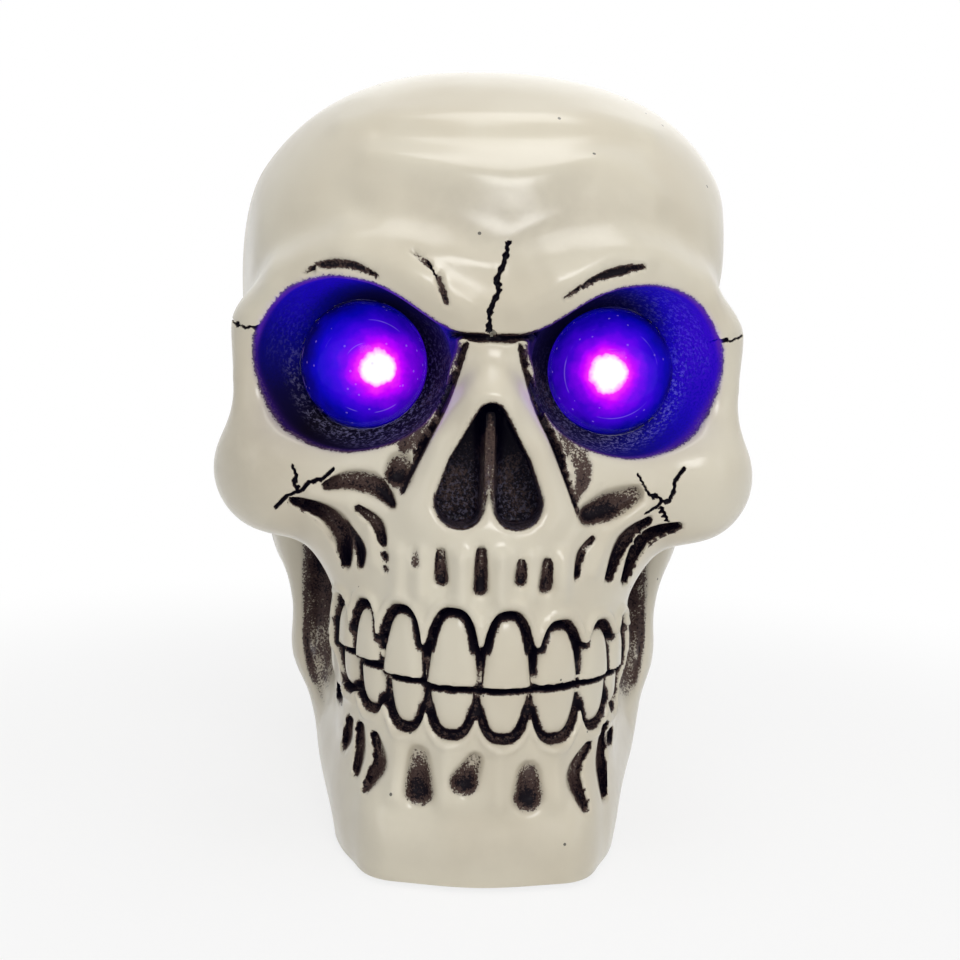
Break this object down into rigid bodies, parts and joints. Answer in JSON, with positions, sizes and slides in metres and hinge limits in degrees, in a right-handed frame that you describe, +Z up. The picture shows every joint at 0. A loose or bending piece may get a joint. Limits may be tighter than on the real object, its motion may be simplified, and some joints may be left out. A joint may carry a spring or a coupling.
{
  "type": "lit skull decoration",
  "caption": "Hollow moulded skull ornament with bared teeth, translucent half-ball eyes lit from behind, and a battery base with a door and an on-off switch.",
  "frame": {"origin": "middle of the object's footprint, on the surface that its feet stand on", "axes": "+Z up, the face looks along -Y, +X to the right when looking at the face"},
  "size_m": [0.1126, 0.1326, 0.164],
  "materials": {
    "painted_shell": "satin ivory paint with a dark wash in the recesses",
    "eye_lens": "glossy translucent blue-violet",
    "black_plastic": "fine moulded texture",
    "foot_rubber": "matt",
    "steel": "bright zinc plate",
    "board": "green solder mask",
    "lamp_resin": "clear resin",
    "cable_jacket": "smooth flexible jacket",
    "cell_wrap": "plain shrink wrap",
    "chip_resin": "moulded resin"
  },
  "bodies": {
    "skull": {"face_shell": "painted_shell", "cranium_shell": "painted_shell", "eye_dome_left": "eye_lens", "eye_dome_right": "eye_lens", "led_holder_left": "black_plastic", "led_holder_right": "black_plastic", "led_left": "lamp_resin", "led_right": "lamp_resin", "led_cable_left": "cable_jacket", "led_cable_right": "cable_jacket", "base_plate": "black_plastic", "base_screw_1": "steel", "base_screw_2": "steel", "base_screw_3": "steel", "base_screw_4": "steel", "foot_1": "foot_rubber", "foot_2": "foot_rubber", "foot_3": "foot_rubber", "foot_4": "foot_rubber", "battery_tray": "black_plastic", "cell_1": "cell_wrap", "cell_2": "cell_wrap", "cell_3": "cell_wrap", "contact_spring_1": "steel", "contact_spring_2": "steel", "contact_spring_3": "steel", "contact_plate_1": "steel", "contact_plate_2": "steel", "contact_plate_3": "steel", "control_board": "board", "board_screw_1": "steel", "board_screw_2": "steel", "driver_chip": "chip_resin", "resistor_left": "chip_resin", "resistor_right": "chip_resin", "switch_body": "black_plastic", "battery_lead": "cable_jacket"},
    "door": {"battery_door": "black_plastic", "door_screw": "steel"},
    "slider": {"switch_slider": "black_plastic"}
  },
  "joints": [
    {"name": "battery_door", "type": "hinge", "parent": "skull", "child": "door", "pos_m": [0, -0.033, 0.001], "axis": [-1, 0, 0], "range_deg": [0, 75]},
    {"name": "switch", "type": "slide", "parent": "skull", "child": "slider", "axis": [1, 0, 0], "range_m": [-0.002, 0]}
  ]
}
